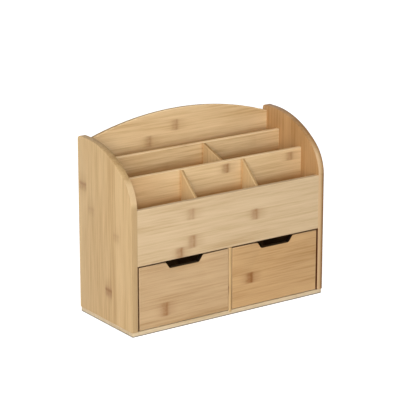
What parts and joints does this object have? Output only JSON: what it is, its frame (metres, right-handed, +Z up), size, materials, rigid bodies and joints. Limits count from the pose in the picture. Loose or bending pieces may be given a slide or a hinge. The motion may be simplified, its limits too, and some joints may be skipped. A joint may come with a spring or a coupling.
{
  "type": "desk organizer",
  "caption": "Bamboo desk organizer with upright compartments stepped down to the front, an arched back and pull-out drawers below.",
  "frame": {"origin": "middle of the footprint on the desk", "axes": "+X along the width to the viewer's right, +Y to the back, +Z up; the drawers open towards -Y"},
  "size_m": [0.33, 0.136, 0.2775],
  "materials": {
    "level_bamboo": "satin clear lacquer, grain along X",
    "upright_bamboo": "satin clear lacquer, grain along Z",
    "thin_bamboo": "satin, thin ply",
    "dowel_wood": "plain",
    "steel": "zinc plated"
  },
  "bodies": {
    "case": {"base_board": "level_bamboo", "left_side": "upright_bamboo", "right_side": "upright_bamboo", "back_panel": "level_bamboo", "shelf": "level_bamboo", "drawer_partition": "upright_bamboo", "front_panel": "level_bamboo", "rear_divider": "level_bamboo", "middle_divider": "level_bamboo", "rear_cross_divider": "upright_bamboo", "left_cross_divider": "upright_bamboo", "right_cross_divider": "upright_bamboo", "base_screws": "steel", "front_panel_dowels": "dowel_wood"},
    "left_drawer": {"left_drawer_front": "level_bamboo", "left_drawer_left_side": "level_bamboo", "left_drawer_right_side": "level_bamboo", "left_drawer_back": "level_bamboo", "left_drawer_bottom": "thin_bamboo"},
    "right_drawer": {"right_drawer_front": "level_bamboo", "right_drawer_left_side": "level_bamboo", "right_drawer_right_side": "level_bamboo", "right_drawer_back": "level_bamboo", "right_drawer_bottom": "thin_bamboo"}
  },
  "joints": [
    {"name": "left_drawer_slide", "type": "slide", "parent": "case", "child": "left_drawer", "axis": [0, -1, 0], "range_m": [0, 0.12]},
    {"name": "right_drawer_slide", "type": "slide", "parent": "case", "child": "right_drawer", "axis": [0, -1, 0], "range_m": [0, 0.12]}
  ]
}
